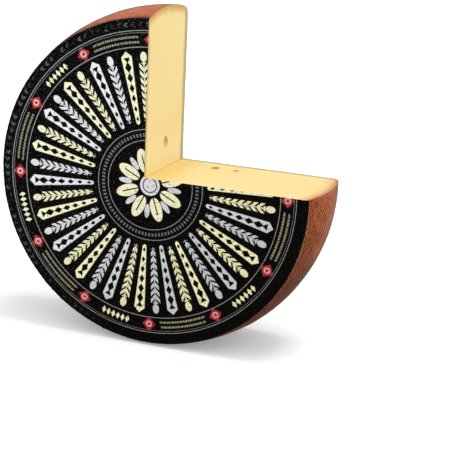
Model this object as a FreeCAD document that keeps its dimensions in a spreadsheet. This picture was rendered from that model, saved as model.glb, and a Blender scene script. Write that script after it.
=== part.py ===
"""Cheese wheel with a quarter cut out, standing on its rim.

The wheel's axis runs along Y. Its labelled face looks along -Y, and the
quarter that was cut out lies towards +X and +Z. The wheel stands on a small
flat at the foot of its rim, on z = 0. Every size is in millimetres.
"""
import FreeCAD, Part

import math
import os

import Sketcher

App = FreeCAD
Vec = FreeCAD.Vector

# Sizes that can each be set by itself. Eyes are placed from the two cuts and
# from the nearer face, so that they stay inside the paste when a size changes.
SIZES = {
    # the whole wheel
    "wheel_thickness": 90.0,
    "face_radius": 149.5,            # where the rim's curve meets a face
    "rim_bulge": 7.5,                # how far mid-rim stands past that radius
    "label_shoulder": 3.0,           # rounding between label face and rim
    "back_shoulder": 9.0,            # rounding between back face and rim
    "rest_flat_depth": 4.5,          # how much of the bulge the foot gives up
    # the quarter that is cut out
    "upright_cut_offset": 6.0,       # upright cut, from the axis towards -X
    "level_cut_offset": 6.0,         # level cut, from the axis towards +Z
    # the paper label
    "label_gauge": 0.4,
    # the eye in the upright cut: rise above the level cut
    "tall_eye_reach": 24.2,
    "tall_eye_from_label": 46.7,
    "tall_eye_half_length": 5.8,
    "tall_eye_half_width": 5.0,
    "tall_eye_half_depth": 4.6,
    "tall_eye_lean": 8.0,            # degrees
    # the two eyes in the level cut: reach from the upright cut
    "near_eye_reach": 41.9,
    "near_eye_from_back": 21.0,
    "near_eye_half_length": 4.9,
    "near_eye_half_width": 4.1,
    "near_eye_half_depth": 3.6,
    "far_eye_reach": 62.2,
    "far_eye_from_back": 21.2,
    "far_eye_half_length": 4.6,
    "far_eye_half_width": 2.8,
    "far_eye_half_depth": 3.0,
    # how deep under its cut an eye's centre lies
    "eye_sink": 0.8,
}

# Point numbers of a sketch element
START = 1
END = 2
CENTRE = 3
# The sketch's own horizontal and vertical axes
ROOT = -1
V_AXIS = -2


def make_sheet(doc):
    """Put the driving sizes into a spreadsheet, one alias a row."""
    sheet = doc.addObject("Spreadsheet::Sheet", "Sizes")
    for row, (alias, value) in enumerate(SIZES.items(), start=1):
        sheet.set("A%d" % row, alias.replace("_", " "))
        sheet.set("B%d" % row, repr(value))
        sheet.setAlias("B%d" % row, alias)
    doc.recompute()
    return sheet


def origin_plane(body, role):
    """Find one of a body's own origin planes by its role."""
    return next(item for item in body.Origin.OriginFeatures if item.Role == role)


def new_sketch(body, name, role):
    """Attach an empty sketch to one of the body's origin planes."""
    sketch = body.newObject("Sketcher::SketchObject", name)
    sketch.AttachmentSupport = [(origin_plane(body, role), "")]
    sketch.MapMode = "FlatFace"
    return sketch


def drive(sketch, constraint, name, formula):
    """Name a dimension of a sketch and bind it to the sheet."""
    sketch.renameConstraint(constraint, name)
    sketch.setExpression("Constraints." + name, formula)


class RimOutline:
    """Half section of the whole wheel: sketch x is the radius, y the axis.

    The rim is one arc from face to face, and a rounding tangent to both joins
    it to each face. Two helper points hold that arc: one at mid-rim, one
    where the arc would meet the label face if nothing were rounded.
    """

    def __init__(self, sketch, sheet):
        self.sketch = sketch
        half = sheet.wheel_thickness / 2
        bulge = sheet.rim_bulge
        face = sheet.face_radius
        rim = (half ** 2 + bulge ** 2) / (2 * bulge)
        rim_centre = face + bulge - rim
        front, front_angle = self.rounding(half, rim, rim_centre, sheet.label_shoulder, -1)
        back, back_angle = self.rounding(half, rim, rim_centre, sheet.back_shoulder, 1)
        bottom = math.radians(-90)
        top = math.radians(90)
        self.axis = self.line((0, half), (0, -half))
        self.label_face = self.line((0, -half), (front.x, -half))
        self.front = self.arc(front, sheet.label_shoulder, bottom, front_angle)
        self.rim = self.arc(Vec(rim_centre, 0, 0), rim, front_angle, back_angle)
        self.back = self.arc(back, sheet.back_shoulder, back_angle, top)
        self.back_face = self.line((back.x, half), (0, half))
        self.mid_rim = sketch.addGeometry(Part.Point(Vec(face + bulge, 0, 0)), True)
        self.corner = sketch.addGeometry(Part.Point(Vec(face, -half, 0)), True)
        self.hold(sheet)

    @staticmethod
    def rounding(half, rim, rim_centre, radius, side):
        """Centre of a rounding that touches a face and the rim from inside."""
        rise = side * (half - radius)
        reach = math.sqrt((rim - radius) ** 2 - rise ** 2)
        return Vec(rim_centre + reach, rise, 0), math.atan2(rise, reach)

    def line(self, start, end):
        """Add a straight element and return its number."""
        return self.sketch.addGeometry(Part.LineSegment(Vec(*start, 0), Vec(*end, 0)))

    def arc(self, centre, radius, first, last):
        """Add an arc of a circle and return its number."""
        circle = Part.Circle(centre, Vec(0, 0, 1), radius)
        return self.sketch.addGeometry(Part.ArcOfCircle(circle, first, last))

    def fix(self, kind, *where):
        """Add a constraint and return its number."""
        return self.sketch.addConstraint(Sketcher.Constraint(kind, *where))

    def hold(self, sheet):
        """Constrain the outline, and bind its sizes to the sheet."""
        self.fix("PointOnObject", self.axis, START, V_AXIS)
        self.fix("Symmetric", self.axis, START, self.axis, END, ROOT, START)
        self.fix("Coincident", self.axis, END, self.label_face, START)
        self.fix("Coincident", self.back_face, END, self.axis, START)
        self.fix("Horizontal", self.label_face)
        self.fix("Horizontal", self.back_face)
        self.fix("Tangent", self.label_face, END, self.front, START)
        self.fix("Tangent", self.front, END, self.rim, START)
        self.fix("Tangent", self.rim, END, self.back, START)
        self.fix("Tangent", self.back, END, self.back_face, START)
        self.fix("PointOnObject", self.rim, CENTRE, ROOT)
        self.fix("PointOnObject", self.mid_rim, START, ROOT)
        self.fix("PointOnObject", self.mid_rim, START, self.rim)
        self.fix("PointOnObject", self.corner, START, self.label_face)
        self.fix("PointOnObject", self.corner, START, self.rim)
        thickness = self.fix("DistanceY", self.axis, END, self.axis, START, sheet.wheel_thickness)
        face = self.fix("DistanceX", ROOT, START, self.corner, START, sheet.face_radius)
        bulge = self.fix("DistanceX", self.corner, START, self.mid_rim, START, sheet.rim_bulge)
        front = self.fix("Radius", self.front, sheet.label_shoulder)
        back = self.fix("Radius", self.back, sheet.back_shoulder)
        drive(self.sketch, thickness, "thickness", "Sizes.wheel_thickness")
        drive(self.sketch, face, "face_radius", "Sizes.face_radius")
        drive(self.sketch, bulge, "rim_bulge", "Sizes.rim_bulge")
        drive(self.sketch, front, "label_shoulder", "Sizes.label_shoulder")
        drive(self.sketch, back, "back_shoulder", "Sizes.back_shoulder")


def label_section(sketch, sheet):
    """Section of the paper: flat on the face, then round the front shoulder.

    The wheel's own outline is drawn as construction, but for the two elements
    that the paper lies on.
    """
    outline = RimOutline(sketch, sheet)
    for unused in (outline.axis, outline.rim, outline.back, outline.back_face):
        sketch.toggleConstruction(unused)
    face_level = -sheet.wheel_thickness / 2
    paper_level = face_level - sheet.label_gauge
    turn = sketch.Geometry[outline.front]
    inner = turn.EndPoint
    away = (inner - turn.Center).normalize() * sheet.label_gauge
    middle = outline.line((0, paper_level), (0, face_level))
    paper = outline.line((0, paper_level), (turn.Center.x, paper_level))
    lap = outline.arc(
        turn.Center,
        sheet.label_shoulder + sheet.label_gauge,
        turn.FirstParameter,
        turn.LastParameter,
    )
    edge = outline.line((inner.x, inner.y), (inner.x + away.x, inner.y + away.y))
    outline.fix("PointOnObject", middle, START, V_AXIS)
    outline.fix("Coincident", middle, END, outline.label_face, START)
    outline.fix("Coincident", paper, START, middle, START)
    outline.fix("Horizontal", paper)
    outline.fix("Coincident", lap, CENTRE, outline.front, CENTRE)
    outline.fix("Tangent", paper, END, lap, START)
    outline.fix("Coincident", edge, START, outline.front, END)
    outline.fix("Coincident", edge, END, lap, END)
    outline.fix("PointOnObject", outline.front, CENTRE, edge)
    gauge = outline.fix("DistanceY", middle, START, middle, END, sheet.label_gauge)
    drive(sketch, gauge, "gauge", "Sizes.label_gauge")


def add_rectangle(sketch, low, high):
    """Draw a rectangle and return its low and its high corner's references."""
    corners = [(low[0], low[1]), (high[0], low[1]), (high[0], high[1]), (low[0], high[1])]
    lines = []
    for start, end in zip(corners, corners[1:] + corners[:1]):
        lines.append(sketch.addGeometry(Part.LineSegment(Vec(*start, 0), Vec(*end, 0))))
    for first, second in zip(lines, lines[1:] + lines[:1]):
        sketch.addConstraint(Sketcher.Constraint("Coincident", first, END, second, START))
    for level in lines[0::2]:
        sketch.addConstraint(Sketcher.Constraint("Horizontal", level))
    for upright in lines[1::2]:
        sketch.addConstraint(Sketcher.Constraint("Vertical", upright))
    return (lines[0], START), (lines[1], END)


def revolve(body, sketch):
    """Turn a section once round the wheel's axis."""
    turned = body.newObject("PartDesign::Revolution", sketch.Name + "_turned")
    turned.Profile = sketch
    turned.ReferenceAxis = (sketch, ["V_Axis"])
    turned.Angle = 360
    return turned


def cut_through(body, sketch):
    """Cut a sketch's outline right through the body, both ways."""
    pocket = body.newObject("PartDesign::Pocket", sketch.Name + "_cut")
    pocket.Profile = sketch
    pocket.Type = "ThroughAll"
    pocket.SideType = "Symmetric"
    return pocket


def cut_quarter(body, sheet):
    """Take out the quarter between the upright cut and the level cut."""
    sketch = new_sketch(body, body.Name + "_quarter", "XZ_Plane")
    clear = 1.5 * (sheet.face_radius + sheet.rim_bulge)
    inner = (-sheet.upright_cut_offset, sheet.level_cut_offset)
    corner, far = add_rectangle(sketch, inner, (clear, clear))
    fix = sketch.addConstraint
    left = fix(Sketcher.Constraint("DistanceX", *corner, ROOT, START, -inner[0]))
    up = fix(Sketcher.Constraint("DistanceY", ROOT, START, *corner, inner[1]))
    wide = fix(Sketcher.Constraint("DistanceX", ROOT, START, *far, clear))
    tall = fix(Sketcher.Constraint("DistanceY", ROOT, START, *far, clear))
    drive(sketch, left, "upright_cut", "Sizes.upright_cut_offset")
    drive(sketch, up, "level_cut", "Sizes.level_cut_offset")
    drive(sketch, wide, "past_the_rim", "1.5 * (Sizes.face_radius + Sizes.rim_bulge)")
    drive(sketch, tall, "past_the_top", "1.5 * (Sizes.face_radius + Sizes.rim_bulge)")
    return cut_through(body, sketch)


def flatten_foot(body, sheet):
    """Press the small flat at the foot of the rim that the wheel stands on."""
    sketch = new_sketch(body, body.Name + "_foot", "XZ_Plane")
    radius = sheet.face_radius + sheet.rim_bulge
    level = radius - sheet.rest_flat_depth
    corner, far = add_rectangle(sketch, (-radius, -1.5 * radius), (radius, -level))
    fix = sketch.addConstraint
    left = fix(Sketcher.Constraint("DistanceX", *corner, ROOT, START, radius))
    deep = fix(Sketcher.Constraint("DistanceY", *corner, ROOT, START, 1.5 * radius))
    right = fix(Sketcher.Constraint("DistanceX", ROOT, START, *far, radius))
    down = fix(Sketcher.Constraint("DistanceY", *far, ROOT, START, level))
    drive(sketch, left, "left", "Sizes.face_radius + Sizes.rim_bulge")
    drive(sketch, right, "right", "Sizes.face_radius + Sizes.rim_bulge")
    drive(sketch, deep, "past_the_rim", "1.5 * (Sizes.face_radius + Sizes.rim_bulge)")
    drive(sketch, down, "foot", "Sizes.face_radius + Sizes.rim_bulge - Sizes.rest_flat_depth")
    return cut_through(body, sketch)


def open_eye(body, name, plane, place, lean="0"):
    """Sink one eye into a cut face as an ellipsoid cut by that face.

    The ellipsoid's depth lies along the plane's normal, its length along the
    plane's second axis and its width along the first.
    """
    eye = body.newObject("PartDesign::SubtractiveEllipsoid", name)
    eye.AttachmentSupport = [(origin_plane(body, plane), "")]
    eye.MapMode = "FlatFace"
    for axis, formula in zip("xyz", place):
        eye.setExpression("AttachmentOffset.Base." + axis, formula)
    eye.setExpression("AttachmentOffset.Rotation.Angle", lean)
    eye.setExpression("Radius1", "Sizes.%s_half_depth" % name)
    eye.setExpression("Radius2", "Sizes.%s_half_width" % name)
    eye.setExpression("Radius3", "Sizes.%s_half_length" % name)
    return eye


def open_eyes(body):
    """Open the eye in the upright cut, then the two in the level cut."""
    open_eye(
        body,
        "tall_eye",
        "YZ_Plane",
        (
            "Sizes.tall_eye_from_label - Sizes.wheel_thickness / 2",
            "Sizes.level_cut_offset + Sizes.tall_eye_reach",
            "-Sizes.upright_cut_offset - Sizes.eye_sink",
        ),
        "-Sizes.tall_eye_lean",
    )
    for name in ("near_eye", "far_eye"):
        open_eye(
            body,
            name,
            "XY_Plane",
            (
                "Sizes.%s_reach - Sizes.upright_cut_offset" % name,
                "Sizes.wheel_thickness / 2 - Sizes.%s_from_back" % name,
                "Sizes.level_cut_offset - Sizes.eye_sink",
            ),
        )


def stand_up(body):
    """Lift a body so that the foot is at z = 0 and the origin is mid-wheel."""
    body.setExpression("Placement.Base.z", "Sizes.face_radius + Sizes.rim_bulge - Sizes.rest_flat_depth")
    body.setExpression("Placement.Base.y", "Sizes.label_gauge / 2")


def make_cheese(doc, sheet):
    """Build the paste and its rind as one solid."""
    body = doc.addObject("PartDesign::Body", "Cheese")
    body.Label = "cheese"
    sketch = new_sketch(body, "WheelSection", "XY_Plane")
    RimOutline(sketch, sheet)
    revolve(body, sketch)
    doc.recompute()
    cut_quarter(body, sheet)
    doc.recompute()
    flatten_foot(body, sheet)
    doc.recompute()
    open_eyes(body)
    stand_up(body)
    return body


def make_label(doc, sheet):
    """Build the paper label that covers the front face, cut with the cheese."""
    body = doc.addObject("PartDesign::Body", "PaperLabel")
    body.Label = "label"
    sketch = new_sketch(body, "PaperSection", "XY_Plane")
    label_section(sketch, sheet)
    revolve(body, sketch)
    doc.recompute()
    cut_quarter(body, sheet)
    stand_up(body)
    return body


def check(doc, bodies):
    """Stop if a feature failed or a body isn't one closed solid."""
    failed = [item.Name for item in doc.Objects if {"Invalid", "Error"} & set(item.State)]
    if failed:
        raise RuntimeError("failed features: " + ", ".join(failed))
    for body in bodies:
        shape = body.Shape
        if shape.isNull() or not shape.isValid() or len(shape.Solids) != 1:
            raise RuntimeError("not one valid solid: " + body.Label)


def main():
    """Build the document and write each body to its own STEP file."""
    doc = App.newDocument("CheeseWheel")
    sheet = make_sheet(doc)
    bodies = [make_cheese(doc, sheet), make_label(doc, sheet)]
    doc.recompute()
    check(doc, bodies)
    os.makedirs("parts", exist_ok=True)
    for body in bodies:
        body.Shape.exportStep("parts/%s.step" % body.Label)
        box = body.Shape.BoundBox
        print(body.Label, "%.0f mm3" % body.Shape.Volume, box)


main()
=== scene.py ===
"""Looks of a cheese wheel with a quarter cut out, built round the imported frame.

The wheel stands on its rim on a small flat. Its axis runs along Y, its
labelled face looks along -Y, and the missing quarter lies towards +X and +Z.
Lengths are in metres, and in millimetres inside the materials.
"""
import logging
import math
from collections.abc import Callable, Iterator
from dataclasses import dataclass, field
from enum import Enum

import bpy
import numpy as np
from mathutils import Matrix, Vector, noise


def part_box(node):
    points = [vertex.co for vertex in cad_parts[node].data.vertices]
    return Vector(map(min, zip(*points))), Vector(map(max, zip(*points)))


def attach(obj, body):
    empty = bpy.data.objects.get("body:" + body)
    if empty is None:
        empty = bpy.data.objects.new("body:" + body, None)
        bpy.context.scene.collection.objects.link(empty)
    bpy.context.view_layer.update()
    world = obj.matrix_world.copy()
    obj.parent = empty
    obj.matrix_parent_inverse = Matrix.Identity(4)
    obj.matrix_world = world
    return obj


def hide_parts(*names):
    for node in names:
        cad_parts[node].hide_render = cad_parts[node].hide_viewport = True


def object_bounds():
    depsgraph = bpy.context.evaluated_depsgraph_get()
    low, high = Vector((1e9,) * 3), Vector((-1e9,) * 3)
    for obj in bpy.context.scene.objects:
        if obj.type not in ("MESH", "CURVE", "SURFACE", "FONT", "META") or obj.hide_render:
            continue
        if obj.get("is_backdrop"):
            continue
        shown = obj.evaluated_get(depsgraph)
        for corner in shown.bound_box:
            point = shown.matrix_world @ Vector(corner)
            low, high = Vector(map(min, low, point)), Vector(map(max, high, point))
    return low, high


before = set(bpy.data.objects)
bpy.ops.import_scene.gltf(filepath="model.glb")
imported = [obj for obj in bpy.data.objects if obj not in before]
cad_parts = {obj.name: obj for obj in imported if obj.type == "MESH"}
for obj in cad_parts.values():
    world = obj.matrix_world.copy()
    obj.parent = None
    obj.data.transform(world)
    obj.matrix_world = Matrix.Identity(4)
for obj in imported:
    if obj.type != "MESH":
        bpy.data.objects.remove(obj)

CAD_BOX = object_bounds()
MM = 0.001
WELD = 2e-6                             # corners nearer than this are one
FOOT_DEPTH = 4.5 * MM                   # how far the resting flat cuts into the rim
LOG = logging.getLogger("cheese_wheel")

Colour = tuple[float, float, float]
Point2 = tuple[float, float]
Span = tuple[float, float]               # where a mask is 0, and where it is 1


class Ink(Enum):
    """The printing inks: each is a bright tone and a dimmer copy of it for painted shade."""

    SILVER = ((0.84, 0.85, 0.88), (0.53, 0.53, 0.53))
    CREAM = ((0.92, 0.90, 0.63), (0.80, 0.73, 0.45))
    RED = ((0.44, 0.034, 0.050), (0.36, 0.022, 0.034))
    PALE = ((0.86, 0.66, 0.58), (0.62, 0.42, 0.38))


class Cut(Enum):
    """The two sawn faces, each by the axis that it stands across."""

    UPRIGHT = 0
    LEVEL = 2


# ---------------------------------------------------------------- shader help


class Wire:
    """A value or colour in a shader tree, which plain operators combine."""

    def __init__(self, board: "Board", socket: bpy.types.NodeSocket) -> None:
        """Keeps the socket and the board that it is on."""
        self.board = board
        self.socket = socket

    def __add__(self, other: "Wire | float") -> "Wire":
        """The sum."""
        return self.board.math("ADD", self, other)

    def __sub__(self, other: "Wire | float") -> "Wire":
        """The difference."""
        return self.board.math("SUBTRACT", self, other)

    def __mul__(self, other: "Wire | float") -> "Wire":
        """The product, which is also where two masks both hold."""
        return self.board.math("MULTIPLY", self, other)

    def __truediv__(self, other: "Wire | float") -> "Wire":
        """The quotient."""
        return self.board.math("DIVIDE", self, other)

    def __abs__(self) -> "Wire":
        """The size without its sign."""
        return self.board.math("ABSOLUTE", self)

    def __or__(self, other: "Wire") -> "Wire":
        """Where either mask holds."""
        return self.board.math("MAXIMUM", self, other)

    def part(self) -> "Wire":
        """What is left above the whole number."""
        return self.board.math("FRACT", self)

    def flip(self) -> "Wire":
        """One less the value: where a mask doesn't hold."""
        return self.board.math("SUBTRACT", 1.0, self)


Value = Wire | float | Colour


class Board:
    """Puts nodes on one shader tree."""

    def __init__(self, tree: bpy.types.NodeTree) -> None:
        """Keeps the tree that the nodes go on."""
        self.tree = tree

    def node(self, kind: str, **settings: object) -> bpy.types.Node:
        """Adds a node.

        Args:
            kind: the node's type without its "ShaderNode" start.
            settings: properties to set on it.

        Returns:
            The new node.
        """
        made = self.tree.nodes.new("ShaderNode" + kind)
        for name, value in settings.items():
            setattr(made, name, value)
        return made

    def plug(self, socket: bpy.types.NodeSocket, value: Value) -> None:
        """Links a wire to a socket, or sets a plain value on it.

        Args:
            socket: the input to fill.
            value: a wire, a number or a colour.
        """
        if isinstance(value, Wire):
            self.tree.links.new(value.socket, socket)
        elif isinstance(value, tuple):
            socket.default_value = (*value, 1.0)
        else:
            socket.default_value = value

    def math(self, operation: str, *terms: Value, clamp: bool = False) -> Wire:
        """One Math node.

        Args:
            operation: its operation.
            terms: up to three inputs.
            clamp: whether the result is kept between 0 and 1.

        Returns:
            The result.
        """
        made = self.node("Math", operation=operation, use_clamp=clamp)
        for socket, term in zip(made.inputs, terms):
            self.plug(socket, term)
        return Wire(self, made.outputs[0])

    def below(self, value: Wire, limit: Value, soft: float = 0.16) -> Wire:
        """A mask of where a value is under a limit, with an edge twice as wide as soft."""
        gap = self.math("SUBTRACT", limit, value)
        return self.math("MULTIPLY_ADD", gap, 0.5 / soft, 0.5, clamp=True)

    def ease(self, value: Wire, start: Value, end: float) -> Wire:
        """A smooth climb from 0 at start to 1 at end, which may be the lower.

        Args:
            value: what climbs.
            start: where the result is 0.
            end: where it is 1.

        Returns:
            The eased value.
        """
        made = self.node("MapRange", interpolation_type="SMOOTHSTEP", clamp=True)
        for name, term in (("Value", value), ("From Min", start), ("From Max", end)):
            self.plug(made.inputs[name], term)
        return Wire(self, made.outputs["Result"])

    def noise(self, point: Wire, size: float, detail: float = 2.0, rough: float = 0.5) -> Wire:
        """Even noise, about a half in the middle.

        Args:
            point: where it is read, in the wire's own units.
            size: how large its lumps are, in those units.
            detail: how many finer layers it has.
            rough: how strong the finer layers are.

        Returns:
            The noise.
        """
        made = self.node("TexNoise")
        self.plug(made.inputs["Vector"], point)
        self.plug(made.inputs["Scale"], 1.0 / size)
        self.plug(made.inputs["Detail"], detail)
        self.plug(made.inputs["Roughness"], rough)
        return Wire(self, made.outputs[0])

    def blend(self, share: Value, first: Value, second: Value) -> Wire:
        """Mixes two colours.

        Args:
            share: how much of the second there is.
            first: the colour where the share is 0.
            second: the colour where it is 1.

        Returns:
            The mixed colour.
        """
        made = self.node("Mix", data_type="RGBA", clamp_factor=True)
        for index, term in ((0, share), (6, first), (7, second)):
            self.plug(made.inputs[index], term)
        return Wire(self, made.outputs[2])

    def coats(self, base: Wire, *layers: tuple[Wire, Value]) -> Wire:
        """Lays colours over a base one after another, each by its mask.

        Args:
            base: the colour under them all.
            layers: each layer's mask and colour, the lowest first.

        Returns:
            The colour that shows.
        """
        for mask, tone in layers:
            base = self.blend(mask, base, tone)
        return base

    def axes(self, point: Wire) -> tuple[Wire, Wire, Wire]:
        """The three parts of a point."""
        made = self.node("SeparateXYZ")
        self.plug(made.inputs[0], point)
        return tuple(Wire(self, socket) for socket in made.outputs)

    def place(self, x: Value, y: Value, z: Value) -> Wire:
        """A point from its three parts."""
        made = self.node("CombineXYZ")
        for socket, term in zip(made.inputs, (x, y, z)):
            self.plug(socket, term)
        return Wire(self, made.outputs[0])

    def use(self, group: bpy.types.NodeTree, **values: Value) -> dict[str, Wire]:
        """Places a node group.

        Args:
            group: the group.
            values: its inputs, with "_" for a space in a name.

        Returns:
            Its outputs by name.
        """
        made = self.node("Group", node_tree=group)
        for name, value in values.items():
            self.plug(made.inputs[name.replace("_", " ")], value)
        return {socket.name: Wire(self, socket) for socket in made.outputs}

    def bump(self, height: Wire, distance: float) -> Wire:
        """A normal from a height.

        Args:
            height: the height, from 0 to 1.
            distance: how high 1 is, in metres.

        Returns:
            The normal.
        """
        made = self.node("Bump")
        self.plug(made.inputs["Strength"], 1.0)
        self.plug(made.inputs["Distance"], distance)
        self.plug(made.inputs["Height"], height)
        return Wire(self, made.outputs[0])


@dataclass(frozen=True)
class Surface:
    """What a material shows: its colour, and how rough, raised and glossy it is."""

    colour: Wire
    roughness: Wire
    height: Wire
    relief: float                       # how high 1 is, in metres
    gloss: float = 0.5

    def dress(self, board: Board, shader: bpy.types.Node) -> None:
        """Plugs the surface into a Principled node.

        Args:
            board: the board that the node is on.
            shader: the node.
        """
        board.plug(shader.inputs["Base Color"], self.colour)
        board.plug(shader.inputs["Roughness"], self.roughness)
        board.plug(shader.inputs["Normal"], board.bump(self.height, self.relief))
        shader.inputs["Specular IOR Level"].default_value = self.gloss


Filling = Callable[[Board, dict[str, Wire]], dict[str, Wire]]


def make_group(name: str, inputs: dict[str, type], outputs: list[str],
               fill: Filling) -> bpy.types.NodeTree:
    """Builds a shader node group once.

    Args:
        name: its name.
        inputs: its inputs, each a float or a Vector.
        outputs: the names of its outputs, which are all values.
        fill: makes its nodes from its inputs and returns its outputs by name.

    Returns:
        The group.
    """
    if name in bpy.data.node_groups:
        return bpy.data.node_groups[name]
    tree = bpy.data.node_groups.new(name, "ShaderNodeTree")
    for title, kind in inputs.items():
        socket_type = "NodeSocketVector" if kind is Vector else "NodeSocketFloat"
        tree.interface.new_socket(name=title, in_out="INPUT", socket_type=socket_type)
    for title in outputs:
        tree.interface.new_socket(name=title, in_out="OUTPUT", socket_type="NodeSocketFloat")
    board = Board(tree)
    entry = tree.nodes.new("NodeGroupInput")
    leave = tree.nodes.new("NodeGroupOutput")
    results = fill(board, {title: Wire(board, entry.outputs[title]) for title in inputs})
    for title, wire in results.items():
        board.plug(leave.inputs[title], wire)
    return tree


def wheel_place_group() -> bpy.types.NodeTree:
    """The group that says where on the wheel a point is, in millimetres."""

    def fill(board: Board, given: dict[str, Wire]) -> dict[str, Wire]:
        """Makes the group's nodes."""
        x, y, z = board.axes(given["Point"])
        per_metre = 1.0 / MM
        x, y, rise = x * per_metre, y * per_metre, (z - given["Axis height"]) * per_metre
        turn = board.math("ARCTAN2", rise, x) * (0.5 / math.pi)
        radius = board.math("SQRT", x * x + rise * rise)
        return {"Radius": radius, "Turn": turn, "Across": y, "Side": x, "Rise": rise}

    return make_group("Wheel place", {"Point": Vector, "Axis height": float},
                      ["Radius", "Turn", "Across", "Side", "Rise"], fill)


def spokes_group() -> bpy.types.NodeTree:
    """The group that repeats a motif round the wheel."""

    def fill(board: Board, given: dict[str, Wire]) -> dict[str, Wire]:
        """Makes the group's nodes."""
        place = given["Turn"] * given["Count"] + given["Shift"]
        whole = board.math("FLOOR", place)
        arc = given["Radius"] * (2.0 * math.pi) / given["Count"]
        odd = board.math("FLOORED_MODULO", whole, 2.0)
        return {"Off": (place - whole - 0.5) * arc, "Odd": odd}

    return make_group("Spokes", {"Turn": float, "Radius": float, "Count": float, "Shift": float},
                      ["Off", "Odd"], fill)


def cloth_group() -> bpy.types.NodeTree:
    """The group for the print of a woven cloth: two slanting sets of threads."""

    def fill(board: Board, given: dict[str, Wire]) -> dict[str, Wire]:
        """Makes the group's nodes."""
        sway = (board.noise(given["Point"], 0.012) - 0.5) * given["Sway"]
        first = board.math("SINE", (given["Along"] + sway) * (2.0 * math.pi)) * 0.5 + 0.5
        second = board.math("SINE", (given["Up"] + sway) * (2.0 * math.pi)) * 0.5 + 0.5
        grain = board.noise(given["Point"], 0.0011, 3.0, 0.6)
        patch = board.noise(given["Point"], 0.0042, 2.0, 0.6)
        cross = given["Cross"]
        height = first * (cross * -0.5 + 0.72) + second * cross + grain * 1.3 + patch * 0.9 - 0.825
        return {"Height": height, "Furrow": board.ease(height, 0.84, 0.42)}

    return make_group("Cloth print",
                      {"Point": Vector, "Along": float, "Up": float, "Sway": float, "Cross": float},
                      ["Height", "Furrow"], fill)


def mottle_group() -> bpy.types.NodeTree:
    """The group for uneven stain: broad clouds, small blots and fine specks."""

    def fill(board: Board, given: dict[str, Wire]) -> dict[str, Wire]:
        """Makes the group's nodes."""
        point = given["Point"]
        made = {"Clouds": board.noise(point, 0.055, 3.0),
                "Blots": board.noise(point, 0.011, 3.0, 0.6),
                "Specks": board.noise(point, 0.0016, 2.0, 0.7)}
        return {name: board.ease(wire, 0.34, 0.66) for name, wire in made.items()}

    return make_group("Mottle", {"Point": Vector}, ["Clouds", "Blots", "Specks"], fill)


def new_material(name: str) -> tuple[bpy.types.Material, Board, bpy.types.Node, Wire]:
    """Starts a material.

    Args:
        name: its name.

    Returns:
        The material, its board, its Principled node and its Object coordinates.
    """
    material = bpy.data.materials.new(name)
    material.use_nodes = True
    board = Board(material.node_tree)
    shader = material.node_tree.nodes["Principled BSDF"]
    point = Wire(board, board.node("TexCoord").outputs["Object"])
    return material, board, shader, point


# ------------------------------------------------------------------- the form


@dataclass(frozen=True)
class WheelForm:
    """The half-section that the rind and the paper both follow.

    A point of it is (distance from the axis, place along Y).
    """

    axis_height: float
    middle: float                       # Y of mid-thickness
    half_thickness: float = 45.0 * MM
    bulge_radius: float = 157.0 * MM    # the rim at mid-thickness
    swing_radius: float = 138.75 * MM   # of the arc across the rim
    label_shoulder: float = 3.0 * MM
    back_shoulder: float = 9.0 * MM
    shoulder_steps: tuple[int, int] = (6, 9)

    @property
    def swing_centre(self) -> float:
        """How far from the axis the rim arc's centre lies."""
        return self.bulge_radius - self.swing_radius

    def shoulder(self, rounding: float, side: int) -> tuple[Point2, float]:
        """A shoulder's arc.

        Args:
            rounding: its radius.
            side: -1 at the label, 1 at the back.

        Returns:
            Its centre, and the angle at which it meets the rim arc.
        """
        run = self.half_thickness - rounding
        reach = math.sqrt((self.swing_radius - rounding) ** 2 - run**2)
        centre = (self.swing_centre + reach, self.middle + side * run)
        return centre, side * math.atan2(run, reach)

    def outline(self, lift: float, rim_steps: int, face_steps: tuple[int, int],
                front_pull: float = 0.0) -> list[Point2]:
        """The half-section from the label face's middle round to the back's.

        Args:
            lift: how far outside the cheese the line runs.
            rim_steps: how many pieces the rim arc has.
            face_steps: how many rings the label face and the back have.
            front_pull: how far the label side lies inside its nominal place.

        Returns:
            The points.
        """
        front = self.middle - self.half_thickness + front_pull - lift
        back = self.middle + self.half_thickness + lift
        near, near_turn = self.shoulder(self.label_shoulder, -1)
        far, far_turn = self.shoulder(self.back_shoulder, 1)
        near = (near[0] - front_pull * 0.3, near[1] + front_pull)
        points = [(near[0] * step / face_steps[0], front) for step in range(face_steps[0])]
        points += arc(near, self.label_shoulder + lift, -math.pi / 2, near_turn,
                      self.shoulder_steps[0])[:-1]
        points += arc((self.swing_centre, self.middle), self.swing_radius + lift,
                      near_turn, far_turn, rim_steps)
        points += arc(far, self.back_shoulder + lift, far_turn, math.pi / 2,
                      self.shoulder_steps[1])[1:]
        points += [(far[0] * (1 - step / face_steps[1]), back)
                   for step in range(1, face_steps[1] + 1)]
        return points


def arc(centre: Point2, radius: float, start: float, end: float, steps: int) -> list[Point2]:
    """Points along an arc, ends included, with angles from straight out towards +Y."""
    angles = [start + (end - start) * step / steps for step in range(steps + 1)]
    return [(centre[0] + radius * math.cos(a), centre[1] + radius * math.sin(a)) for a in angles]


# ------------------------------------------------------------- mesh by hand


def only(piece: bpy.types.Object) -> None:
    """Selects one object, makes it active and deselects the rest."""
    bpy.ops.object.select_all(action="DESELECT")
    piece.select_set(True)
    bpy.context.view_layer.objects.active = piece


def edit(piece: bpy.types.Object, mode: str = "VERT", select: str = "SELECT") -> None:
    """Enters edit mode.

    Args:
        piece: the object to edit.
        mode: what kind of element is picked.
        select: whether all or nothing is selected at the start.
    """
    only(piece)
    bpy.ops.object.mode_set(mode="EDIT")
    bpy.ops.mesh.select_mode(type=mode)
    bpy.ops.mesh.select_all(action=select)


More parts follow.
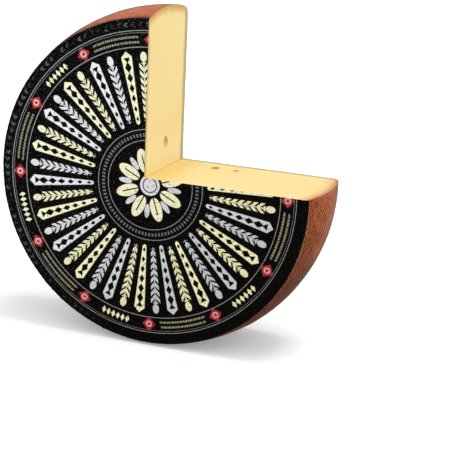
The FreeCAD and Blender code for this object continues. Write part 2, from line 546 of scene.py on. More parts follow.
def primitive(add: Callable[..., object], **settings: object) -> bpy.types.Object:
    """Adds a primitive with nothing else selected.

    Args:
        add: the operator that adds it.
        settings: the operator's settings.

    Returns:
        The new object.
    """
    bpy.ops.object.select_all(action="DESELECT")
    add(**settings)
    return bpy.context.object


def leave_edit() -> None:
    """Goes back to object mode."""
    bpy.ops.object.mode_set(mode="OBJECT")


def settle(piece: bpy.types.Object) -> None:
    """Puts an object's place, turn and scale into its mesh."""
    only(piece)
    bpy.ops.object.transform_apply(location=True, rotation=True, scale=True)


def apply(piece: bpy.types.Object, kind: str, **settings: object) -> None:
    """Adds a modifier and applies it.

    Args:
        piece: the object.
        kind: the modifier's type.
        settings: its properties.
    """
    modifier = piece.modifiers.new(kind.title(), kind)
    for name, value in settings.items():
        setattr(modifier, name, value)
    only(piece)
    bpy.ops.object.modifier_apply(modifier=modifier.name)


def corners(piece: bpy.types.Object) -> np.ndarray:
    """The places of a mesh's vertices, one row each."""
    places = np.empty(len(piece.data.vertices) * 3)
    piece.data.vertices.foreach_get("co", places)
    return places.reshape(-1, 3)


def put_corners(piece: bpy.types.Object, places: np.ndarray) -> None:
    """Moves a mesh's vertices to the places given, one row each."""
    piece.data.vertices.foreach_set("co", places.ravel())
    piece.data.update()


def spun(name: str, outline: list[Point2], form: WheelForm, steps: int) -> bpy.types.Object:
    """Spins a half-section round the wheel's axis.

    Args:
        name: the new object's name.
        outline: the half-section, from axis to axis or to a free end.
        form: the wheel.
        steps: how many segments go round.

    Returns:
        The new object, with its doubles merged.
    """
    piece = primitive(bpy.ops.mesh.primitive_circle_add, vertices=len(outline),
                      radius=form.bulge_radius)
    piece.name = piece.data.name = name
    edit(piece, "EDGE", "DESELECT")
    leave_edit()
    ends = {0, len(outline) - 1}
    for edge in piece.data.edges:
        edge.select = set(edge.vertices) == ends
    bpy.ops.object.mode_set(mode="EDIT")
    bpy.ops.mesh.delete(type="EDGE")
    leave_edit()
    put_corners(piece, np.array([(r, y, form.axis_height) for r, y in outline]))
    edit(piece)
    bpy.ops.mesh.spin(steps=steps, dupli=False, angle=2 * math.pi,
                      center=(0.0, 0.0, form.axis_height), axis=(0.0, 1.0, 0.0))
    bpy.ops.mesh.select_all(action="SELECT")
    bpy.ops.mesh.remove_doubles(threshold=WELD)
    bpy.ops.mesh.normals_make_consistent(inside=False)
    leave_edit()
    return piece


def lumps(name: str, size: float, depth: int) -> bpy.types.Texture:
    """A cloud pattern that presses a surface in.

    Args:
        name: its name.
        size: how large its lumps are.
        depth: how many finer layers it has.

    Returns:
        The pattern.
    """
    made = bpy.data.textures.new(name, "CLOUDS")
    made.noise_scale = size
    made.noise_depth = depth
    return made


def press(piece: bpy.types.Object, pattern: bpy.types.Texture, depth: float) -> None:
    """Presses a surface in by a pattern, down to a depth, and nowhere out."""
    apply(piece, "DISPLACE", texture=pattern, texture_coords="LOCAL", direction="NORMAL",
          mid_level=1.0, strength=depth)


def carve(piece: bpy.types.Object, tool: bpy.types.Object) -> None:
    """Takes a tool's shape out of a piece, which keeps the tool's material there."""
    apply(piece, "BOOLEAN", operation="DIFFERENCE", solver="EXACT", object=tool,
          material_mode="TRANSFER")


def discard(piece: bpy.types.Object) -> None:
    """Removes a tool that has done its work, and its mesh."""
    mesh = piece.data
    bpy.data.objects.remove(piece)
    bpy.data.meshes.remove(mesh)


# --------------------------------------------------------------- the finishes


@dataclass(frozen=True)
class RindFinish:
    """Washed rind: russet with the print of its cloth, and painted light: salmon at the lit top, shade
    at the foot, glints on the threads, sheen and shade along its outline.
    """

    form: WheelForm
    painted_lit_salmon: Colour = (0.57, 0.118, 0.076)
    russet: Colour = (0.325, 0.066, 0.015)
    orange: Colour = (0.60, 0.150, 0.040)
    painted_thread_highlight: Colour = (0.72, 0.260, 0.120)
    deep_brown_and_shade: Colour = (0.070, 0.016, 0.005)
    bloom_and_sheen: Colour = (0.56, 0.27, 0.19)
    painted_outline_shade: Colour = (0.17, 0.100, 0.066)
    soot: Colour = (0.045, 0.026, 0.020)
    rim_threads: int = 312
    cross_threads: int = 98
    cross_pitch: float = 2.4            # millimetres
    slant: float = 0.262                # threads per millimetre across the rim
    back_pitch: float = 2.2             # millimetres
    back_span: Span = (39.0, 44.0)
    painted_top_light_span: Span = (50.0, 140.0)
    painted_foot_shade_span: Span = (-15.0, -100.0)
    left_span: Span = (-48.0, -100.0)
    bleed_span: Span = (-31.0, -42.5)
    seam_span: Span = (-40.2, -41.6)
    relief: float = 0.28 * MM
    gloss: float = 0.05

    def material(self) -> bpy.types.Material:
        """The material."""
        material, board, shader, point = new_material("washed_rind")
        at = board.use(wheel_place_group(), Point=point, Axis_height=self.form.axis_height)
        stain = board.use(mottle_group(), Point=point)
        back = board.ease(at["Across"], *self.back_span)
        weave = self.weave(board, point, at, back)
        cloud = stain["Clouds"] - 0.5
        # painted light: the rim turns from russet to salmon towards the top and the right, as if lit
        # from above
        high = board.ease(at["Rise"] + at["Side"] * 0.35 + cloud * 50.0, *self.painted_top_light_span)
        # painted shade: the rim darkens towards the foot
        low = board.ease(at["Rise"] + cloud * 20.0, *self.painted_foot_shade_span)
        round_it, over_it = abs(at["Turn"]) * 0.42, at["Across"] * MM
        drawn = board.place(round_it * back.flip() + at["Side"] * back * MM,
                            over_it * back.flip() + at["Rise"] * back * MM, 0.0)
        streaks = board.noise(drawn, 0.008, 3.0, 0.65)
        seam = board.ease(at["Across"] + streaks * 1.5, *self.seam_span)
        # facing is read for painted sheen and painted outline shade below, by the angle of view
        facing = Wire(board, board.node("LayerWeight").outputs["Facing"])
        rub = (board.noise(point, 0.0035, 3.0, 0.7) - 0.5) * 22.0
        left = board.ease(at["Side"], *self.left_span) * board.ease(at["Rise"], -30.0, 95.0)
        bleed = board.ease(at["Across"] + rub - left * 11.0 + stain["Clouds"] * 3.0, *self.bleed_span)
        colour = board.coats(
            board.blend(high, self.russet, self.painted_lit_salmon),
            (board.ease(streaks, 0.50, 0.62) * (high * 0.35 + 0.30), self.orange),
            (stain["Blots"] * stain["Clouds"] * 0.5, self.orange),
            (board.ease(streaks, 0.48, 0.36) * 0.34, self.deep_brown_and_shade),
            # the cloth print's furrows darker, partly their own stain and partly painted shade, less
            # where the top is painted lit
            (weave["Furrow"] * (high * -0.50 + 1.0), self.deep_brown_and_shade),
            # painted highlights on the tops of the threads
            (board.ease(weave["Height"], 0.86, 1.16) * 0.46, self.painted_thread_highlight),
            # painted shade towards the foot
            (low * 0.85, self.deep_brown_and_shade),
            (stain["Specks"] * high * 0.28, self.bloom_and_sheen),
            (seam * high.flip() * 0.5, self.bloom_and_sheen),
            # painted sheen: paler where the rim is seen at a grazing angle
            (board.ease(facing, 0.60, 0.88) * low.flip() * 0.27, self.bloom_and_sheen),
            # painted shade: grey-brown along the outline, where the rim is seen at a grazing angle
            (board.ease(facing, 0.82, 0.96) * 0.6, self.painted_outline_shade),
            (bleed * (high * 0.6 | left * 0.92), self.soot),
        )
        rough = stain["Blots"] * 0.16 + weave["Furrow"] * 0.12 + 0.58
        height = weave["Height"] + stain["Specks"] * 0.25 + stain["Blots"] * 0.6 + streaks * 1.2
        Surface(colour, rough, height, self.relief, self.gloss).dress(board, shader)
        return material

    def weave(self, board: Board, point: Wire, at: dict[str, Wire], back: Wire) -> dict[str, Wire]:
        """The cloth's print, wound round the rim and flat on the back.

        Args:
            board: the material's board.
            point: its Object coordinates.
            at: the place on the wheel.
            back: the mask of the back face.

        Returns:
            The print's height and furrows.
        """
        turn, across = at["Turn"], at["Across"]
        round_rim = board.use(cloth_group(), Point=point, Sway=0.9, Cross=0.36,
                              Along=turn * float(self.rim_threads) + across * self.slant,
                              Up=turn * float(self.cross_threads) + across / self.cross_pitch)
        flat = board.use(cloth_group(), Point=point, Along=at["Side"] / self.back_pitch,
                         Up=at["Rise"] / self.back_pitch, Sway=0.9, Cross=0.42)
        return {name: round_rim[name] * back.flip() + flat[name] * back for name in flat}


@dataclass(frozen=True)
class PasteFinish:
    """Cut cheese: pale and even, and ochre where it nears the rind, with painted shade and painted
    light by the inner corner and a painted highlight along the label's edge.
    """

    form: WheelForm
    pale: Colour = (0.90, 0.700, 0.310)
    warm: Colour = (0.88, 0.660, 0.262)
    ochre: Colour = (0.58, 0.325, 0.064)
    blush: Colour = (0.70, 0.34, 0.085)
    olive: Colour = (0.42, 0.35, 0.155)
    crust: Colour = (0.34, 0.135, 0.050)
    bark: Colour = (0.13, 0.090, 0.045)
    scorch: Colour = (0.230, 0.078, 0.024)
    painted_edge_highlight: Colour = (0.93, 0.80, 0.48)
    corner: Colour = (0.75, 0.535, 0.165)
    painted_corner_light: Colour = (0.94, 0.790, 0.390)
    painted_nook_shade_span: Span = (30.0, 3.0)
    painted_corner_light_span: Span = (50.0, 12.0)
    under_back: Span = (8.6, 3.4)
    under_front: Span = (6.4, 0.9)
    crust_span: Span = (4.9, 1.2)
    relief: float = 0.05 * MM
    gloss: float = 0.12

    def material(self) -> bpy.types.Material:
        """The material."""
        material, board, shader, point = new_material("cut_paste")
        at = board.use(wheel_place_group(), Point=point, Axis_height=self.form.axis_height)
        stain = board.use(mottle_group(), Point=point)
        rim, back, front = self.skin_gaps(board, at)
        wander = (stain["Blots"] - 0.5) * 1.4
        rag = (board.noise(point, 0.0024, 3.0, 0.7) - 0.5) * 16.0
        upright = board.below(at["Side"], -5.6, 0.2) * board.ease(at["Rise"], 6.3, 7.2)
        level = upright.flip()
        under = (board.ease(back + wander * 0.4 + level * 1.3, *self.under_back)
                 | board.below(rim, 1.2, 0.8) * upright
                 | board.ease(front + wander * 1.2, *self.under_front) * upright * 0.8)
        skin = (board.below(rim, 0.5, 0.3) | board.below(back + upright * 0.5, 1.5, 0.5)
                | board.below(front + wander * 0.4, 0.8, 0.4) * upright)
        colour = board.coats(
            board.blend(stain["Clouds"] * 0.5 + stain["Blots"] * 0.12, self.pale, self.warm),
            # painted shade: the level face turns ochre towards the inner corner
            (board.ease(at["Side"], *self.painted_nook_shade_span) * level * 0.72, self.corner),
            # painted light: the upright face paler low down by the inner corner, against the shade
            # there
            (board.ease(at["Rise"], *self.painted_corner_light_span) * upright * 0.8, self.painted_corner_light),
            (board.ease(rim + wander, level * 5.0 + 10.0, 0.4) * (upright * 0.12 + 0.84),
             board.blend(upright, self.blush, self.ochre)),
            (board.ease(back + wander, 11.0, 3.0) * upright * 0.45, self.ochre),
            # painted highlight: a pale line along the label's edge on the level face
            (board.ease(front, 3.2, 1.4) * level * 0.6, self.painted_edge_highlight),
            (under * 0.9, self.olive),
            (board.ease(rim + rag, *self.crust_span) * level * 0.85, self.crust),
            (skin * 0.85, board.blend(upright | board.ease(back, 3.0, 1.5), self.scorch, self.bark)),
        )
        rough = stain["Specks"] * 0.08 + 0.42
        height = stain["Specks"] * 0.5 + board.noise(point, 0.0045, 2.0)
        Surface(colour, rough, height, self.relief, self.gloss).dress(board, shader)
        return material

    def skin_gaps(self, board: Board, at: dict[str, Wire]) -> tuple[Wire, Wire, Wire]:
        """How far a point lies under the rim, the back and the label face.

        Args:
            board: the material's board.
            at: the place on the wheel.

        Returns:
            The three gaps, in millimetres.
        """
        form = self.form
        off = at["Across"] - form.middle / MM
        reach = board.math("SQRT", board.math("SUBTRACT", (form.swing_radius / MM) ** 2, off * off))
        rim = reach + form.swing_centre / MM - at["Radius"]
        half = form.half_thickness / MM
        return rim, board.math("SUBTRACT", half, off), off + half


@dataclass(frozen=True)
class EyeFinish:
    """The skin inside an eye: smooth and moist, darker than the paste, its dark tone partly painted
    shade in the hole.
    """

    skin: Colour = (0.78, 0.63, 0.23)
    shade: Colour = (0.58, 0.46, 0.14)
    relief: float = 0.04 * MM

    def material(self) -> bpy.types.Material:
        """The material."""
        material, board, shader, point = new_material("eye_skin")
        stain = board.use(mottle_group(), Point=point)
        colour = board.blend(stain["Blots"], self.skin, self.shade)
        rough = stain["Specks"] * 0.1 + 0.28
        Surface(colour, rough, stain["Specks"], self.relief).dress(board, shader)
        return material


@dataclass(frozen=True)
class Dial:
    """A place on the label: its share of a turn, and millimetres from the axis."""

    board: Board
    turn: Wire
    radius: Wire

    def repeat(self, count: float, shift: float) -> tuple[Wire, Wire]:
        """How far off its motif's middle line the place is, and a mask of odd motifs."""
        spoke = self.board.use(spokes_group(), Turn=self.turn, Radius=self.radius,
                               Count=count, Shift=shift)
        return spoke["Off"], spoke["Odd"]

    def oval(self, x: Wire, y: Wire, soft: float) -> Wire:
        """A mask of where the place lies within one of the middle, by x and y."""
        return self.board.below(x * x + y * y, 1.0, soft)


Layer = tuple[Wire, Ink, float]


@dataclass(frozen=True)
class PrintedPaper:
    """Black label paper with a printed sun of blades and barley ears."""

    form: WheelForm
    black: Colour = (0.0022, 0.0020, 0.0018)
    grey: Colour = (0.170, 0.170, 0.164)
    rings: tuple[tuple[float, float], ...] = ((139.2, 0.32), (137.2, 0.13), (124.6, 0.34),
                                              (51.0, 0.30), (41.2, 0.30))
    blades: int = 22
    lozenges: int = 12
    petals: int = 8
    band_radius: float = 131.2
    margin_radius: float = 144.6
    painted_shade_span: Span = (-190.0, 170.0)
    relief: float = 0.07 * MM
    gloss: float = 0.008

    def material(self) -> bpy.types.Material:
        """The material."""
        material, board, shader, point = new_material("printed_paper")
        at = board.use(wheel_place_group(), Point=point, Axis_height=self.form.axis_height)
        stain = board.use(mottle_group(), Point=point)
        fray = (board.noise(point, 0.0011, 2.0, 0.7) - 0.5) * 0.7
        dial = Dial(board, at["Turn"], at["Radius"] + fray)
        # painted shade: the inks, the grey specks and the worn marks dim towards the lower right
        painted_shade = board.ease(at["Side"] - at["Rise"] + (stain["Clouds"] - 0.5) * 40.0, *self.painted_shade_span)
        dust = board.ease(board.noise(point, 0.0015, 2.0, 0.75), 0.58, 0.74)
        colour = board.blend(dust * (painted_shade * -0.8 + 0.95), self.black, self.grey)
        wear = board.ease(stain["Blots"], 0.25, 0.85) * painted_shade.flip()
        layers = (*self.sun(dial), *self.band(dial), *self.hub(dial), self.ring_lines(dial),
                  self.margin(dial, wear))
        worn = board.ease(board.noise(point, 0.0013, 3.0, 0.7), 0.32, 0.44)
        print_height = None
        for mask, ink, strength in layers:
            # each ink goes from its bright tone to its dim one in the painted shade
            tone = board.blend(painted_shade, *ink.value)
            colour = board.blend(mask * worn * strength, colour, tone)
            print_height = mask if print_height is None else print_height | mask
        rough = stain["Specks"] * 0.15 + print_height * -0.14 + 0.55
        height = stain["Specks"] * 0.7 + print_height * 0.3 + stain["Blots"] * 0.4
        Surface(colour, rough, height, self.relief, self.gloss).dress(board, shader)
        return material

    def sun(self, dial: Dial) -> Iterator[Layer]:
        """Pointed blades with a chain of dark lozenges, and ears between them.

        Args:
            dial: the place on the label.

        Yields:
            Each layer's mask, ink and strength.
        """
        board, radius = dial.board, dial.radius
        off, blade_odd = dial.repeat(float(self.blades), 0.2)
        off = abs(off)
        width = radius * 0.056 - 1.4
        blade = (board.below(off, width) * board.below(radius + off * 0.9, 121.5)
                 * board.below(board.math("MULTIPLY_ADD", off, 0.9, radius * -1.0), -55.5))
        step = abs(((radius - 56.0) / 9.3).part() - 0.5) * 9.3
        slot = board.below(step * 0.62 + off, width * 0.70)
        blade = blade * (slot * board.below(radius, 116.0)).flip()
        side, ear_odd = dial.repeat(float(self.blades), 0.7)
        side = abs(side)
        spread = radius * 0.052 - 1.1
        barb = board.below(((radius - side * 1.1) / 6.0).part(), 0.60, 0.05)
        within = board.below(abs(radius - 85.0), 26.0)
        ear = board.below(side, spread) * barb * within * board.below(side, 0.5).flip()
        rise = radius - 116.0
        bud = board.below((side / 3.1) * (side / 3.1) + rise * rise / 20.0, 1.0, 0.1)
        stem = board.below(side, 0.42) * board.below(abs(radius - 88.0), 30.0)
        growth = ear | bud | stem
        for odd, ink in ((blade_odd, Ink.SILVER), (blade_odd.flip(), Ink.CREAM)):
            yield blade * odd, ink, 1.0
        for odd, ink in ((ear_odd, Ink.SILVER), (ear_odd.flip(), Ink.CREAM)):
            yield growth * odd, ink, 0.93

    def band(self, dial: Dial) -> Iterator[Layer]:
        """The outer band: red lozenges, rows of leaves and rows of dashes.

        Args:
            dial: the place on the label.

        Yields:
            Each layer's mask, ink and strength.
        """
        board, radius = dial.board, dial.radius
        rise = abs(radius - self.band_radius)
        side = abs(dial.repeat(float(self.lozenges), 0.45)[0])
        yield board.below(side + rise, 6.6), Ink.RED, 1.0
        ring = abs(board.math("SQRT", side * side + rise * rise) - 2.3)
        yield board.below(ring, 0.75), Ink.PALE, 0.8
        off, odd = dial.repeat(float(self.lozenges), 0.95)
        side = abs(off)
        leaf = abs((off / 4.9).part() - 0.5) * 4.9
        leaves = board.below(leaf * 1.7 + rise, 3.5) * board.below(side, 15.0) * odd
        yield leaves, Ink.CREAM, 0.95
        dashes = (off * 0.62 + board.math("SINE", off * 0.83) * 0.34).part()
        dash = board.below(dashes, 0.60, 0.08)
        lines = board.below(abs(rise - 2.3), 0.95) * dash * board.below(side, 23.0)
        yield lines * odd.flip(), Ink.CREAM, 0.40

    def hub(self, dial: Dial) -> Iterator[Layer]:
        """The hub: a ring of ticks round a flower.

        Args:
            dial: the place on the label.

        Yields:
            Each layer's mask, ink and strength.
        """
        board, radius = dial.board, dial.radius
        tick = board.below((dial.turn * 88.0).part(), 0.5, 0.06)
        yield tick * board.below(abs(radius - 46.0), 1.5), Ink.SILVER, 0.22
        wide = dial.repeat(float(self.petals), 0.1)[0]
        petal = dial.oval(wide / 5.6, (radius - 23.0) / 11.0, 0.05)
        vein = board.below(abs(wide), 0.6) * board.below(radius, 28.0)
        yield petal * vein.flip(), Ink.CREAM, 0.98
        slim = dial.repeat(float(self.petals), 0.6)[0]
        yield dial.oval(slim / 2.5, (radius - 24.0) / 6.5, 0.08), Ink.SILVER, 0.9
        disc = board.below(radius, 9.6) * board.below(abs(radius - 6.6), 0.5).flip()
        yield disc, Ink.SILVER, 0.95

    def ring_lines(self, dial: Dial) -> Layer:
        """The thin rings between the bands, as one layer."""
        lines = [dial.board.below(abs(dial.radius - at), half) for at, half in self.rings]
        joined = lines[0]
        for line in lines[1:]:
            joined = joined | line
        return joined, Ink.SILVER, 0.42

    def margin(self, dial: Dial, wear: Wire) -> Layer:
        """Faint worn marks pressed round the outer margin, as one layer."""
        lean = abs(dial.radius - self.margin_radius)
        mark = dial.board.below((dial.turn * 132.0 + lean * 0.14).part(), 0.4, 0.08)
        return mark * dial.board.below(lean, 2.1) * wear, Ink.SILVER, 0.12


# ------------------------------------------------------------------ the pieces


@dataclass
class Knife:
    """The box that takes the quarter out of the cheese and its label."""

    form: WheelForm
    upright: float = -6.0 * MM          # X of the upright face
    level: float = 6.0 * MM             # height of the level face above the axis
    overrun: float = 12.0 * MM
    grid: int = 48
    ripple: float = 0.22 * MM

    def build(self, paste: bpy.types.Material) -> bpy.types.Object:
        """Makes the tool.

        Args:
            paste: the material that its cut leaves.

        Returns:
            The tool's object.
        """
        reach = self.form.bulge_radius + self.overrun
        depth = self.form.half_thickness + self.overrun
        low = Vector((self.upright, self.form.middle - depth, self.form.axis_height + self.level))
        high = Vector((reach, self.form.middle + depth, self.form.axis_height + reach))
        tool = primitive(bpy.ops.mesh.primitive_cube_add, size=1.0,
                         location=(low + high) / 2, scale=high - low)
        tool.name = "quarter_knife"
        settle(tool)
        edit(tool, "FACE", "DESELECT")
        leave_edit()
        for face in tool.data.polygons:
            face.select = any(abs(face.center[cut.value] - low[cut.value]) < MM for cut in Cut)
        bpy.ops.object.mode_set(mode="EDIT")
        bpy.ops.mesh.subdivide(number_cuts=self.grid)
        leave_edit()
        apply(tool, "DISPLACE", texture=lumps("saw_marks", 0.035, 1), texture_coords="LOCAL",
              direction="NORMAL", mid_level=0.5, strength=self.ripple)
        tool.data.materials.append(paste)
        return tool


@dataclass(frozen=True)
class Eye:
    """One round hole that a cut has opened: its middle, half sizes and lean."""

    middle: tuple[float, float, float]
    halves: tuple[float, float, float]
    lean: float = 0.0                   # degrees about X


@dataclass
class Cheese:
    """The cheese itself: rind outside, paste and eyes in its two cuts."""

    form: WheelForm
    knife: bpy.types.Object
    steps: int = 640
    rim_steps: int = 50
    face_steps: tuple[int, int] = (14, 40)
    lump_depth: float = 0.5 * MM
    paper_room: float = 0.16 * MM
    smooth_angle: float = 32.0          # degrees
    eye_mesh: tuple[int, int] = (40, 24)
    eye_dents: float = 0.35 * MM
    eyes: tuple[Eye, ...] = field(default_factory=lambda: (
        Eye((-6.8 * MM, 1.9 * MM, 182.7 * MM), (4.6 * MM, 5.0 * MM, 5.8 * MM), 8.0),
        Eye((35.9 * MM, 24.2 * MM, 157.7 * MM), (4.1 * MM, 4.9 * MM, 3.6 * MM)),
        Eye((56.2 * MM, 24.0 * MM, 157.7 * MM), (2.8 * MM, 4.6 * MM, 3.0 * MM)),
    ))

    def build(self, rind: bpy.types.Material, eye_skin: bpy.types.Material) -> bpy.types.Object:
        """Makes the piece.

        Args:
            rind: the material of the outside.
            eye_skin: the material inside the eyes.

        Returns:
            The piece.
        """
        outline = self.form.outline(0.0, self.rim_steps, self.face_steps, self.paper_room)
        piece = spun("cheese_wheel", outline, self.form, self.steps)
        piece.data.materials.append(rind)
        press(piece, lumps("rind_lumps", 0.022, 2), self.lump_depth)
        self.flatten_foot(piece)
        carve(piece, self.knife)
        tool = self.eye_tool(eye_skin)
        carve(piece, tool)
        discard(tool)
        edit(piece)
        bpy.ops.mesh.dissolve_degenerate(threshold=WELD)
        leave_edit()
        only(piece)
        bpy.ops.object.shade_smooth_by_angle(angle=math.radians(self.smooth_angle))
        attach(piece, "root")
        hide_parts("cheese")
        return piece

    def flatten_foot(self, piece: bpy.types.Object) -> None:
        """Cuts the rim off flat where the wheel rests."""
        edit(piece)
        bpy.ops.mesh.bisect(plane_co=(0.0, 0.0, 0.0), plane_no=(0.0, 0.0, 1.0),
                            use_fill=True, clear_inner=True, clear_outer=False,
                            threshold=1e-6)
        leave_edit()

    def eye_tool(self, skin: bpy.types.Material) -> bpy.types.Object:
        """The rounded tools that open the eyes, as one object.

        Args:
            skin: the material that they leave.

        Returns:
            The tool's object.
        """
        tools = []
        for eye in self.eyes:
            tool = primitive(
                bpy.ops.mesh.primitive_uv_sphere_add, segments=self.eye_mesh[0],
                ring_count=self.eye_mesh[1], radius=1.0, location=eye.middle,
                scale=eye.halves, rotation=(math.radians(eye.lean), 0.0, 0.0))
            settle(tool)
            tools.append(tool)
        for tool in tools:
            tool.select_set(True)
        bpy.context.view_layer.objects.active = tools[0]
        bpy.ops.object.join()
        tools[0].name = "eye_tool"
        press(tools[0], lumps("eye_lumps", 0.004, 1), self.eye_dents)
        tools[0].data.materials.append(skin)
        return tools[0]


@dataclass
class PaperLabel:
    """The printed paper, which folds over the shoulder on to the rim."""

    form: WheelForm
    knife: bpy.types.Object
    gauge: float = 0.4 * MM
    edge: float = -42.7 * MM            # Y where the paper ends on the rim
    steps: int = 600
    face_steps: int = 44
    smooth_angle: float = 40.0          # degrees
    lump_depth: float = 0.4 * MM
    rim_steps: int = 50
    fold_start: float = 146.5 * MM      # from the axis, where the pleats set in
    fold_run: float = 3.4 * MM
    fray: float = 0.8 * MM
    pleat_depth: float = 0.13 * MM
    pleats: int = 150

    def build(self, paper: bpy.types.Material) -> bpy.types.Object:
        """Makes the piece.

        Args:
            paper: its material.

        Returns:
            The piece.
        """
        piece = spun("paper_label", self.outline(), self.form, self.steps)
        self.face_out(piece)
        self.fray_edge(piece)
        press(piece, bpy.data.textures["rind_lumps"], self.lump_depth)
        apply(piece, "SOLIDIFY", thickness=self.gauge * 0.9, offset=-1.0, use_rim=True)
        piece.data.materials.append(paper)
        carve(piece, self.knife)
        for face in piece.data.polygons:
            face.material_index = 0
        while len(piece.data.materials) > 1:
            piece.data.materials.pop(index=1)
        only(piece)
        bpy.ops.object.shade_smooth_by_angle(angle=math.radians(self.smooth_angle))
        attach(piece, "root")
        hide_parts("label")
        return piece

    def outline(self) -> list[Point2]:
        """The outer side's half-section, from the middle to the paper's edge."""
        whole = self.form.outline(self.gauge, self.rim_steps, (self.face_steps, 2))
        kept = [spot for spot in whole if spot[1] < self.edge - 0.2 * MM]
        return [*kept, (self.rim_at(self.edge), self.edge)]

    def rim_at(self, across: float) -> float:
        """The paper's distance from the axis at a place on the rim."""
        form = self.form
        reach = form.swing_radius + self.gauge
        return form.swing_centre + math.sqrt(reach**2 - (across - form.middle) ** 2)

    def face_out(self, piece: bpy.types.Object) -> None:
        """Turns the open sheet's normals away from the cheese."""
        if sum(face.normal.y * face.area for face in piece.data.polygons) > 0.0:
            edit(piece)
            bpy.ops.mesh.flip_normals()
            leave_edit()

    def fray_edge(self, piece: bpy.types.Object) -> None:
        """Draws the edge in unevenly and puts small pleats in the fold.

        Args:
            piece: the open sheet.
        """
        places = corners(piece)
        start = self.form.middle - self.form.half_thickness - self.gauge
        for place in places:
            turn = math.atan2(place[2] - self.form.axis_height, place[0])
            radius = math.hypot(place[0], place[2] - self.form.axis_height)
            share = min(max((radius - self.fold_start) / self.fold_run, 0.0), 1.0)
            if not share:
                continue
            heading = Vector((math.cos(turn), math.sin(turn), 0.0))
            pull = noise.noise(heading * 21.0) * 0.5 + noise.noise(heading * 105.0) * 0.9
            fold = math.sin(turn * self.pleats + 6.0 * noise.noise(heading * 9.0)) * 0.5 + 0.5
            inward = self.pleat_depth * fold * share
            if place[1] > self.edge - 0.05 * MM:
                place[1] -= self.fray * (0.5 + pull)
                radius = self.rim_at(place[1])
            elif place[1] > start + 0.02 * MM:
                place[1] += inward * 0.4
            radius -= inward
            place[0] = radius * math.cos(turn)
            place[2] = radius * math.sin(turn) + self.form.axis_height
        put_corners(piece, places)


# ------------------------------------------------------------------ the studio


@dataclass(frozen=True)
class Lamp:
    """A broad, far lamp: where it stands, how strong and how soft it is."""

    name: str
    heading: tuple[float, float, float]
    strength: float
    spread: float                       # degrees


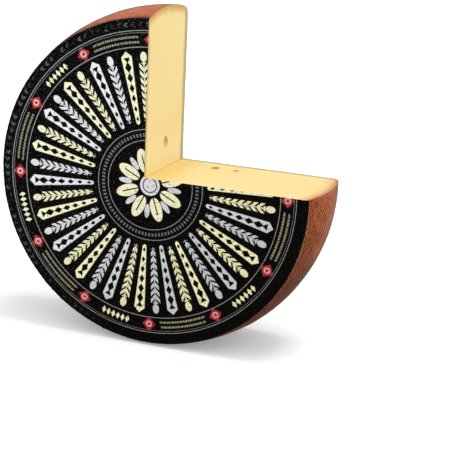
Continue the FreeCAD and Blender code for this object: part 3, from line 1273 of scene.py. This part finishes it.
@dataclass
class Studio:
    """White floor and surround, three soft lamps and the camera."""

    floor_size: float = 24.0
    floor_tone: Colour = (0.93, 0.97, 0.97)
    floor_lift: float = 0.24
    surround: float = 0.48
    lamps: tuple[Lamp, ...] = (
        Lamp("top_lamp", (0.22, 0.00, 0.98), 1.01, 24.0),
        Lamp("side_lamp", (0.80, -0.40, 0.55), 0.92, 90.0),
        Lamp("front_lamp", (-0.25, -0.80, 0.55), 0.88, 90.0),
    )
    stand: tuple[float, float, float] = (0.5408, -1.2903, 0.5005)
    heading: float = 20.37              # degrees from +Y towards -X
    dip: float = 16.03                  # degrees below level
    roll: float = -2.65                 # degrees
    lens: float = 120.0                 # millimetres on a 36 mm sensor

    def build(self) -> None:
        """Makes the floor, the surround, the lamps and the camera."""
        self.lay_floor()
        self.light()
        self.place_camera()

    def seen(self, board: Board) -> Wire:
        """A mask of what is looked at straight, mirrored or through glass."""
        path = board.node("LightPath")
        rays = [Wire(board, path.outputs[name])
                for name in ("Is Camera Ray", "Is Glossy Ray", "Is Transmission Ray")]
        return rays[0] | rays[1] | rays[2]

    def lay_floor(self) -> None:
        """Lays a pale floor that keeps the wheel's shadow."""
        floor = primitive(bpy.ops.mesh.primitive_plane_add, size=self.floor_size)
        floor.name = "floor"
        material, board, shader, point = new_material("pale_floor")
        dust = board.noise(point, 0.05, 2.0) * 0.02
        board.plug(shader.inputs["Base Color"], board.blend(dust, self.floor_tone, (0.86, 0.86, 0.86)))
        shader.inputs["Roughness"].default_value = 1.0
        shader.inputs["Specular IOR Level"].default_value = 0.0
        board.plug(shader.inputs["Emission Color"], (1.0, 1.0, 1.0))
        board.plug(shader.inputs["Emission Strength"], self.seen(board) * self.floor_lift)
        floor.data.materials.append(material)
        floor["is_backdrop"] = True

    def light(self) -> None:
        """Sets the surround and the lamps."""
        world = bpy.data.worlds.new("surround")
        bpy.context.scene.world = world
        world.use_nodes = True
        board = Board(world.node_tree)
        shader = world.node_tree.nodes["Background"]
        shader.inputs["Color"].default_value = (1.0, 1.0, 1.0, 1.0)
        strength = self.seen(board) * (1.0 - self.surround) + self.surround
        board.plug(shader.inputs["Strength"], strength)
        for lamp in self.lamps:
            data = bpy.data.lights.new(lamp.name, "SUN")
            data.energy, data.angle = lamp.strength, math.radians(lamp.spread)
            item = bpy.data.objects.new(lamp.name, data)
            item.rotation_mode = "QUATERNION"
            item.rotation_quaternion = Vector(lamp.heading).to_track_quat("Z", "Y")
            item.location = Vector(lamp.heading) * 2.0
            bpy.context.scene.collection.objects.link(item)

    def place_camera(self) -> None:
        """Stands the camera where the wheel is looked at from."""
        heading, dip, roll = (math.radians(a) for a in (self.heading, self.dip, self.roll))
        ahead = Vector((-math.sin(heading) * math.cos(dip), math.cos(heading) * math.cos(dip),
                        -math.sin(dip)))
        level = ahead.cross(Vector((0.0, 0.0, 1.0))).normalized()
        plumb = level.cross(ahead)
        up = plumb * math.cos(roll) + level * math.sin(roll)
        right = ahead.cross(up)
        data = bpy.data.cameras.new("camera")
        data.lens, data.sensor_width = self.lens, 36.0
        data.clip_start, data.clip_end = 0.05, 60.0
        camera = bpy.data.objects.new("camera", data)
        turned = Matrix((right, up, -ahead)).transposed().to_4x4()
        camera.matrix_world = Matrix.Translation(self.stand) @ turned
        bpy.context.scene.collection.objects.link(camera)
        bpy.context.scene.camera = camera


def report(piece: bpy.types.Object) -> None:
    """Says what a finished piece is made of."""
    triangles = sum(len(face.vertices) - 2 for face in piece.data.polygons)
    LOG.info("%s: %d triangles, %d materials", piece.name, triangles, len(piece.data.materials))


def main() -> None:
    """Builds the wheel, its label and the studio."""
    logging.basicConfig(level=logging.INFO, format="%(message)s")
    low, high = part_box("cheese")
    radius = (high.x - low.x) / 2
    form = WheelForm(axis_height=radius - FOOT_DEPTH, middle=(low.y + high.y) / 2)
    paste = PasteFinish(form).material()
    knife = Knife(form).build(paste)
    cheese = Cheese(form, knife).build(RindFinish(form).material(), EyeFinish().material())
    report(cheese)
    label = PaperLabel(form, knife).build(PrintedPaper(form).material())
    report(label)
    discard(knife)
    Studio().build()
    bpy.context.scene.view_settings.view_transform = "Standard"
    boxes = {"cad": CAD_BOX, "visual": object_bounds()}
    {name: [list(corner) for corner in box] for name, box in boxes.items()}


if __name__ == "__main__":
    main()
